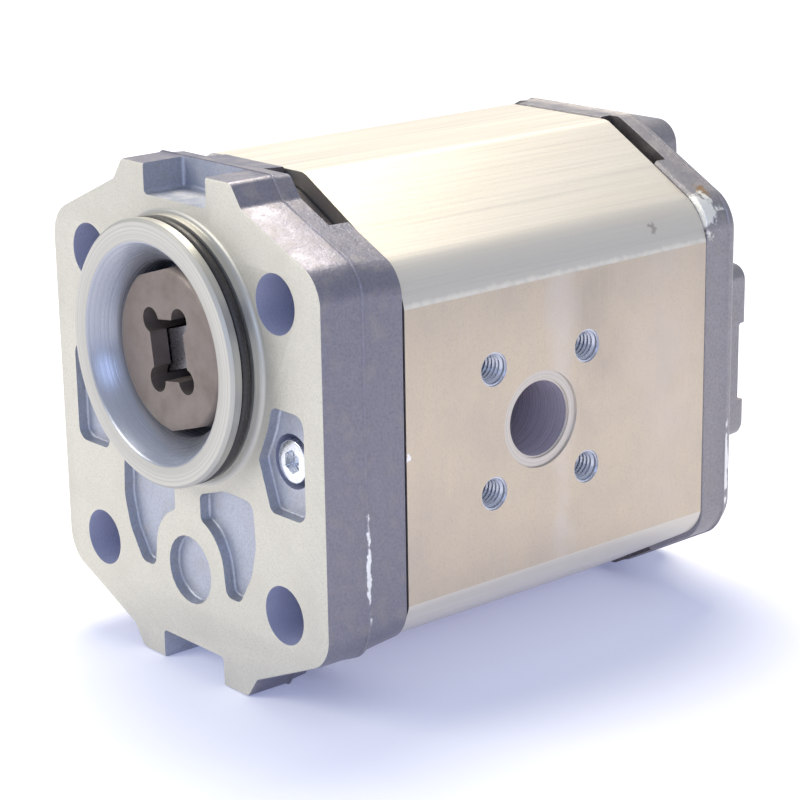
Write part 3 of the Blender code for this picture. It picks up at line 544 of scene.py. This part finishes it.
def lever_slots(name, inner, front, back):
    """Cutters for the four slots in a cover's joint edge, where a lever parts it from the body."""
    outline = [(inner, 53, 0), (inner, 47.4, 0.5), (14.2, 45.6, 1.5), (26.2, 39.2, 0.5), (31, 46, 0)]
    tools = []
    for sx in (-1, 1):
        for sz in (-1, 1):
            shape = bmesh.new()
            corners = [(sx * x, sz * height, radius) for x, height, radius in outline]
            loft(shape, [(corners, front), (corners, back)], 4)
            # the slots' faces take the near-black painted shade
            tools.append(new_object(name, shape, slot_painted_shade))
    return tools


spigot = turned("spigot", [
    (0, SPIGOT_FRONT), (SPIGOT_RADIUS - 0.6, SPIGOT_FRONT), (SPIGOT_RADIUS, SPIGOT_FRONT + 0.6),
    (SPIGOT_RADIUS, GROOVE[0]), (GROOVE[2], GROOVE[0]), (GROOVE[2], GROOVE[1]), (SPIGOT_RADIUS, GROOVE[1]),
    (SPIGOT_RADIUS, -1.1), (SPIGOT_RADIUS + 0.16, -0.5), (SPIGOT_RADIUS + 0.6, -0.1),
    (SPIGOT_RADIUS + 1.2, 0.05), (SPIGOT_RADIUS + 1.2, 1), (0, 1),
], 0, SHAFT_OFFSET, spigot_wall)
combine(front_cover, "UNION", [spigot])

taper = (MOUTH_RADIUS - RECESS[2]) / (RECESS[0] - SPIGOT_FRONT)
mouth = turned("coupling_mouth", [
    (0, SPIGOT_FRONT - 1), (MOUTH_RADIUS + 0.5 + taper, SPIGOT_FRONT - 1),
    (MOUTH_RADIUS + 0.45, SPIGOT_FRONT), (MOUTH_RADIUS, SPIGOT_FRONT + 0.35),
    (RECESS[2], RECESS[0]), (RECESS[2], RECESS[1]), (15.0, RECESS[1]),
    (15.0, 7.1), (15.7, 7.1), (15.7, 8.9), (15.0, 8.9), (15.0, 16.2), (10.2, 16.2), (10.2, 22), (0, 22),
], 0, SHAFT_OFFSET, mouth_wall)
SIDE_POCKET = [(37.3, -10.3, 2.6), (37.3, 10.3, 2.6), (28.0, 10.3, 1.6), (26.6, 5.6, 5.0), (23.6, -0.7, 1.2),
               (26.9, -10.3, 1.6)]
LOWER_POCKET = [(21.8, -18.5, 8.0), (21.2, -10.0, 2.2), (12.5, -9.7, 9.0), (4.2, -12.4, 1.5),
                (4.2, -17.6, 1.2), (10.4, -20.6, 9.0), (11.8, -31.4, 1.8), (16.2, -31.4, 2.0),
                (20.2, -25.0, 8.0)]
ROUND_POCKET = [(6.9, -36.0, 6.85), (6.9, -22.1, 6.85), (-6.9, -22.1, 6.85), (-6.9, -36.0, 6.85)]
tools = [mouth]
for name, corners in (("side_pocket", SIDE_POCKET), ("lower_pocket", LOWER_POCKET)):
    tools.append(pocket("right_" + name, corners, POCKET_DEPTH, pocket_painted_light_skin))
    tools.append(pocket("left_" + name, mirrored(corners), POCKET_DEPTH, pocket_painted_light_skin))
tools.append(pocket("round_pocket", ROUND_POCKET, POCKET_DEPTH, pocket_painted_light_skin))
tools.append(notch("upper_notch", (-10, -3, 44.5), (10, 9.5, 56), pocket_painted_light_skin))
tools.append(notch("lower_notch", (-10, -3, -56), (10, 9.5, -44.5), pocket_painted_light_skin))
tools += lever_slots("front_lever_slot", 9, front_back - 5, front_back + 1)
bolts, past = square(BOLT_OFFSET), front_back + PAST
tools.append(drill("front_bolt_holes", bolts, BOLT_HOLE_RADIUS, -PAST, past, hole_wall))
tools.append(drill("front_seats", SCREWS, SCREW_SEAT_RADIUS, -PAST, SCREW_SEAT_DEPTH, hole_wall))
tools.append(drill("front_clearance", SCREWS, SMALL_HOLE_RADIUS, 6, past, hole_wall, 24))
tools.append(drill("front_dowel_holes", DOWELS, SMALL_HOLE_RADIUS, FRONT_JOINT - DOWEL_DEPTH, past,
                   hole_wall, 24))
combine(front_cover, "DIFFERENCE", tools)
break_edges(front_cover, 0.14, 2, 40)
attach(front_cover, "housing")
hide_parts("front_cover")

# Rear cover.
# A die casting with a thick bearing boss behind its rim. The clamp bolts' heads sit on the rim's corners,
# and two recessed screws hold it to the body.

REAR_RIM = 109.7
REAR_FACE = 119.7
REAR_SEAT = 111.7  # the station where the screws' heads bear
rear_skin = cast_skin("rear_casting_skin", (0.32, 0.30, 0.31), [
    ((38.5, 103.6, 37.5), (2.5, 1.6, 2.0), 1.3, (0.30, 0.19, 0.10)),
    ((41.6, 101.4, 34.0), (4.5, 3.6, 5.4), 2.2, (0.88, 0.86, 0.78)),
    ((43, 108.0, -20.7), (6, 0.75, 9.5), 2.6, (0.88, 0.87, 0.85)),
])
REAR_CORNERS = cover_corners(34.5, (18.5, 47.8), 15.0, 49.6, 8, 2.4)
BOSS_CORNERS = all_quarters([(37, 18.5, 3), (22, 20.5, 6), (17.5, 27, 6), (16.5, 47, 5)])
rear_shape = bmesh.new()
rear_front = REAR_JOINT + GAP / 2
loft(rear_shape, [
    (swell(REAR_CORNERS, -0.25), rear_front), (REAR_CORNERS, rear_front + 0.25), (REAR_CORNERS, 106.6),
    (swell(REAR_CORNERS, 0.2), 106.85), (swell(REAR_CORNERS, 0.2), 107.05),
    (swell(REAR_CORNERS, -0.3), 107.3), (swell(REAR_CORNERS, -0.5), REAR_RIM - 1.0),
    (swell(REAR_CORNERS, -0.8), REAR_RIM - 0.4), (swell(REAR_CORNERS, -1.2), REAR_RIM - 0.1),
    (swell(REAR_CORNERS, -1.7), REAR_RIM),
], 10)
rear_cover = new_object("rear_cover_casting", rear_shape, rear_skin)
boss_shape = bmesh.new()
loft(boss_shape, [
    (swell(BOSS_CORNERS, 1.5), REAR_RIM - 1.5), (swell(BOSS_CORNERS, 1.1), REAR_RIM - 0.2),
    (swell(BOSS_CORNERS, 0.5), REAR_RIM + 0.8), (swell(BOSS_CORNERS, 0.15), REAR_RIM + 2.2),
    (swell(BOSS_CORNERS, -0.1), REAR_FACE - 0.8), (swell(BOSS_CORNERS, -0.35), REAR_FACE - 0.25),
    (swell(BOSS_CORNERS, -0.8), REAR_FACE),
], 10)
combine(rear_cover, "UNION", [new_object("bearing_boss", boss_shape, rear_skin)])
tools = []
for side in (-1, 1):
    near, far = sorted((side * (SCREW_X - 7), side * (SCREW_X + 10)))
    low, high = (near, REAR_FACE - 2.1, -10.6), (far, REAR_FACE + 3, 6.4)
    tools.append(notch("screw_pad", low, high, rear_skin, 0.6))
tools += lever_slots("rear_lever_slot", 12.5, rear_front - 1, rear_front + 2.8)
before, past = rear_front - PAST, REAR_FACE + PAST
tools.append(drill("rear_bolt_holes", bolts, BOLT_HOLE_RADIUS, before, past, hole_wall))
tools.append(drill("rear_seats", SCREWS, SCREW_SEAT_RADIUS, REAR_SEAT, past, hole_wall))
tools.append(drill("rear_clearance", SCREWS, SMALL_HOLE_RADIUS, before, 113, hole_wall, 24))
tools.append(drill("rear_dowel_holes", DOWELS, SMALL_HOLE_RADIUS, before, REAR_JOINT + DOWEL_DEPTH,
                   hole_wall, 24))
combine(rear_cover, "DIFFERENCE", tools)
break_edges(rear_cover, 0.2, 2, 40)
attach(rear_cover, "housing")
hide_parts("rear_cover")

# Spigot ring.
# A nitrile O-ring stretched into the groove round the spigot, with a little dust on it. It seals the spigot
# in the bore that it is bolted into.


def rubber():
    finish = Finish("black_nitrile", (0.030, 0.026, 0.024), 0.42, 0.0)
    dust = finish.noise(0.6, detail=4)
    finish.tint(finish.spread(dust, 0.5, 0.75), (0.075, 0.065, 0.06), 0.7)
    finish.vary_roughness(dust, 0.1)
    finish.bump(finish.noise(0.25), 0.02)
    return finish.done()


rubber_skin = rubber()
ring_middle, ring_cord = (GROOVE[0] + GROOVE[1]) / 2, 1.15
ring_radius = GROOVE[2] + GAP + ring_cord
ring_angles = [2 * math.pi * step / 20 for step in range(20)]
ring_profile = [(ring_radius + ring_cord * math.sin(angle), ring_middle - ring_cord * math.cos(angle))
                for angle in ring_angles]
spigot_ring = turned("spigot_ring", ring_profile, 0, SHAFT_OFFSET, rubber_skin, 160)
spigot_ring.data.shade_smooth()
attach(spigot_ring, "housing")
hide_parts("spigot_o_ring")

# Coupling disc.
# Pressed and sintered steel, oil-soaked and brown. It floats in the spigot's recess on the drive shaft's
# tang, and the engine's own tang enters the socket in its front.

DISC = (-2.9, 6.0)
DISC_RADIUS, DISC_FLAT = 16.6, 15.3
DISC_TURN = math.radians(17)
SOCKET_TURN = math.radians(8)
SOCKET = (5.5, 6.0)  # half width, half height
LOBE, LOBE_RADIUS = (4.7, 5.8), 2.5
TANG_SLOT = (8.9, 4.3)


def sintered():
    finish = Finish("sintered_steel", (0.20, 0.165, 0.145), 0.5, 0.6)
    pores = finish.noise(0.30, detail=4, rough=0.7)
    stain = finish.noise(4.5)
    finish.tint(finish.spread(pores, 0.55, 0.75), (0.09, 0.072, 0.06), 0.7)
    finish.tint(finish.spread(stain, 0.45, 0.7), (0.15, 0.12, 0.10), 0.6)
    finish.tint(finish.rings(tuple(at(0, 0, SHAFT_OFFSET)), 0.5), (0.27, 0.235, 0.21), 0.25)
    finish.vary_roughness(stain, 0.1)
    finish.bump(pores, 0.05)
    return finish.done()


disc_skin = sintered()


def about_drive(x, height, turn):
    """A point measured from the drive axis in turned directions, in the pump's own."""
    return (x * math.cos(turn) - height * math.sin(turn),
            SHAFT_OFFSET + x * math.sin(turn) + height * math.cos(turn))


def disc_block(name, low, high, radius, front, back, turn):
    """A cutter through the disc between two corners measured from the drive axis."""
    corners = [(high[0], low[1]), (high[0], high[1]), (low[0], high[1]), (low[0], low[1])]
    corners = [(*about_drive(x, height, turn), radius) for x, height in corners]
    shape = bmesh.new()
    loft(shape, [(corners, front), (corners, back)], 5)
    return new_object(name, shape, disc_skin)


disc = turned("coupling_disc_sintered", [
    (0, DISC[0]), (DISC_RADIUS - 1.3, DISC[0]), (DISC_RADIUS - 0.8, DISC[0] + 0.2),
    (DISC_RADIUS - 0.2, DISC[0] + 0.8), (DISC_RADIUS, DISC[0] + 1.3), (DISC_RADIUS, DISC[1] - 0.8),
    (DISC_RADIUS - 0.8, DISC[1]), (0, DISC[1]),
], 0, SHAFT_OFFSET, disc_skin)
lobes = [about_drive(x, height, SOCKET_TURN) for x in (-LOBE[0], LOBE[0]) for height in (-LOBE[1], LOBE[1])]
front, back = DISC[0] - 1, DISC[1] + 1
combine(disc, "DIFFERENCE", [
    disc_block("upper_flat", (-20, DISC_FLAT), (20, 25), 0, front, back, DISC_TURN),
    disc_block("lower_flat", (-20, -25), (20, -DISC_FLAT), 0, front, back, DISC_TURN),
    disc_block("socket", (-SOCKET[0], -SOCKET[1]), SOCKET, 0.8, front, back, SOCKET_TURN),
    drill("socket_corners", lobes, LOBE_RADIUS, front - 0.3, back + 0.3, disc_skin, 32),
    disc_block("tang_slot", (-TANG_SLOT[0], -TANG_SLOT[1]), TANG_SLOT, 0.4, 1.0, back + 0.6, DISC_TURN),
])
break_edges(disc, 0.25, 3, 40)
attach(disc, "coupling")
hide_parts("coupling_disc")

# Cover screws.
# Four zinc-plated M5 socket-head screws with knurled heads and rolled threads, sunk in the covers.
# They hold the pump together until its long bolts clamp it to the drive.


def zinc():
    finish = Finish("bright_zinc_plate", (0.78, 0.80, 0.84), 0.26, 1.0)
    cloud = finish.noise(1.2)
    finish.tint(finish.spread(cloud, 0.45, 0.7), (0.60, 0.62, 0.63), 0.6)
    finish.vary_roughness(cloud, 0.08)
    finish.bump(finish.noise(0.3), 0.012)
    return finish.done()


zinc_plate = zinc()
HEAD_RADIUS, HEAD, SHANK_RADIUS, SHANK = 4.25, 5.0, 2.5, 27.0
KNURLS = 48
for side, top, inward in (("front", 2.0, 1), ("rear", 117.0, -1)):
    for hand, x in (("left", -SCREW_X), ("right", SCREW_X)):
        profile = [
            (0, 0), (2.9, 0), (HEAD_RADIUS - 0.45, 0), (HEAD_RADIUS - 0.12, 0.12), (HEAD_RADIUS, 0.45),
            (HEAD_RADIUS, HEAD - 0.1), (HEAD_RADIUS - 0.1, HEAD), (SHANK_RADIUS, HEAD),
            (SHANK_RADIUS, HEAD + 8.9), (2.05, HEAD + 9.3), (2.05, HEAD + SHANK - 0.5), (1.6, HEAD + SHANK),
            (0, HEAD + SHANK),
        ]
        profile = [(radius, top + inward * depth) for radius, depth in profile]
        screw = turned(f"{side}_{hand}_cap_screw", profile, x, 0, zinc_plate, KNURLS)
        knurl = bmesh.new()
        knurl.from_mesh(screw.data)
        axis = at(x, 0, 0)
        for vert in knurl.verts:
            off = Vector((vert.co.x - axis.x, 0, vert.co.z - axis.z))
            step = round(math.atan2(off.z, off.x) / (2 * math.pi) * KNURLS)
            if off.length > (HEAD_RADIUS - 0.02) * MM and step % 2:
                vert.co -= off * 0.025
        knurl.to_mesh(screw.data)
        knurl.free()
        hex_shape = bmesh.new()
        for mouth_radius, tip_radius, low, high in ((2.31, 2.31, -0.5, 2.3), (2.0, 0.2, 2.2, 2.9)):
            middle = at(x, top + inward * (low + high) / 2, 0)
            ends = (tip_radius, mouth_radius) if inward > 0 else (mouth_radius, tip_radius)
            turn = Matrix.Translation(middle) @ Matrix.Rotation(QUARTER_TURN, 4, "X")
            bmesh.ops.create_cone(hex_shape, cap_ends=True, segments=6, radius1=ends[0] * MM,
                                  radius2=ends[1] * MM, depth=(high - low) * MM, matrix=turn)
        combine(screw, "DIFFERENCE", [new_object("hex_socket", hex_shape, zinc_plate)])
        break_edges(screw, 0.1, 2, 50)
        coil = bmesh.new()
        thread(coil, at(x, top + inward * (HEAD + 9.8), 0), (0, inward, 0), 2.03, 0.8, 20, 0.4)
        ridge = new_object(f"{side}_{hand}_cap_screw_thread", coil, zinc_plate)
        ridge.data.shade_smooth()
        ridge.data.set_sharp_from_angle(angle=math.radians(50))
        for piece in (screw, ridge):
            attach(piece, "housing")
        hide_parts(f"{side}_{hand}_screw")

# Gears, bearings and seals inside.
# Ground and case-hardened steel gears, extruded bearing blocks with bronze-lined bushes, moulded field seals
# with their plastic rings, and the shaft seal behind the coupling disc. They keep the shapes of the frame.


def ground_steel():
    finish = Finish("ground_gear_steel", (0.27, 0.265, 0.28), 0.30, 1.0)
    lines = finish.noise(0.4, (1, 0.05, 1), 3)
    finish.tint(finish.spread(lines, 0.45, 0.75), (0.19, 0.185, 0.19), 0.5)
    finish.tint(finish.spread(finish.noise(5), 0.5, 0.75), (0.22, 0.18, 0.15), 0.35)
    finish.vary_roughness(lines, 0.07)
    finish.bump(lines, 0.01)
    return finish.done()


def simple_finish(name, colour, darker, roughness, metallic, size, relief):
    """A finish with one grain: a darker colour, a change of gloss and a relief, all from the same noise."""
    finish = Finish(name, colour, roughness, metallic)
    grain = finish.noise(size, detail=4)
    finish.tint(finish.spread(grain, 0.45, 0.72), darker, 0.7)
    finish.vary_roughness(grain, 0.08)
    finish.bump(grain, relief)
    return finish.done()


inside_finishes = {
    ground_steel(): ["drive_gear_shaft", "driven_gear_shaft"],
    simple_finish("bearing_block_alloy", (0.66, 0.66, 0.67), (0.50, 0.50, 0.52), 0.33, 1.0, 0.5, 0.02): [
        "front_bearing_block", "rear_bearing_block"],
    simple_finish("bronze_bush_lining", (0.52, 0.36, 0.20), (0.36, 0.25, 0.16), 0.38, 1.0, 0.4, 0.02): [
        "front_drive_bush", "front_driven_bush", "rear_drive_bush", "rear_driven_bush"],
    rubber_skin: [
        "front_axial_seal", "rear_axial_seal", "front_body_seal", "rear_body_seal", "shaft_seal_lip"],
    simple_finish("backup_plastic", (0.80, 0.76, 0.66), (0.68, 0.63, 0.52), 0.5, 0.0, 0.6, 0.02): [
        "front_backup_ring", "rear_backup_ring"],
    simple_finish("seal_case_steel", (0.62, 0.63, 0.66), (0.45, 0.46, 0.48), 0.32, 1.0, 0.5, 0.015): [
        "shaft_seal_case"],
    simple_finish("dark_spring_steel", (0.22, 0.22, 0.24), (0.13, 0.13, 0.14), 0.36, 1.0, 0.4, 0.015): [
        "seal_garter_spring", "seal_retaining_ring"],
    simple_finish("hardened_dowel_steel", (0.50, 0.50, 0.52), (0.38, 0.38, 0.40), 0.2, 1.0, 0.5, 0.01): [
        "front_upper_dowel", "front_lower_dowel", "rear_upper_dowel", "rear_lower_dowel"],
}
for material, names in inside_finishes.items():
    for name in names:
        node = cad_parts[name]
        for place in node.material_slots:
            place.material = material

# Floor, light and camera.
# A plain pale floor that glows a little like a light table, a warm lamp high on the left, a soft fill in
# front and a cool window on the right. The camera has a long lens and looks slightly down on the bench.

floor_shape = bmesh.new()
bmesh.ops.create_grid(floor_shape, x_segments=4, y_segments=4, size=4.0)
floor_finish = Finish("pale_floor", (0.85, 0.845, 0.84), 0.7, 0.0)
floor_finish.tint(floor_finish.spread(floor_finish.noise(60), 0.4, 0.7), (0.82, 0.82, 0.825), 0.5)
floor_finish.shader.inputs["Emission Color"].default_value = (0.55, 0.60, 1.0, 1)
floor_finish.shader.inputs["Emission Strength"].default_value = 0.28
floor = new_object("floor", floor_shape, floor_finish.done())


def area_light(name, spot, target, size, power, colour):
    lamp = bpy.data.lights.new(name, "AREA")
    lamp.shape = "DISK"
    lamp.size = size
    lamp.energy = power
    lamp.color = colour
    holder = bpy.data.objects.new(name, lamp)
    holder.location = spot
    holder.rotation_euler = (Vector(target) - Vector(spot)).to_track_quat("-Z", "Y").to_euler()
    bpy.context.scene.collection.objects.link(holder)


area_light("warm ceiling light", (-0.45, 0.35, 1.15), (0, 0, 0.05), 0.8, 15.0, (1.0, 0.93, 0.78))
area_light("front fill", (-0.55, -1.0, 0.65), (0, 0, 0.05), 0.8, 8.0, (1.0, 0.97, 0.90))
area_light("cool window", (0.85, -0.80, 0.45), (0, 0, 0.05), 0.6, 2.4, (0.45, 0.60, 1.0))

world = bpy.data.worlds.new("studio")
world.use_nodes = True
sky = world.node_tree.nodes["Background"]
sky.inputs["Color"].default_value = (0.76, 0.83, 1.0, 1)
sky.inputs["Strength"].default_value = 0.62
bpy.context.scene.world = world
bpy.context.scene.view_settings.view_transform = "Standard"

lens = bpy.data.cameras.new("camera")
lens.lens = 107.94
lens.sensor_width = 36.0
lens.clip_start = 0.02
lens.clip_end = 20.0
camera = bpy.data.objects.new("camera", lens)
camera.matrix_world = Matrix((
    (0.65091, -0.20473, 0.73103, 0.36380),
    (0.75899, 0.19552, -0.62105, -0.31066),
    (-0.01578, 0.95909, 0.28265, 0.18569),
    (0, 0, 0, 1),
))
bpy.context.scene.collection.objects.link(camera)
bpy.context.scene.camera = camera
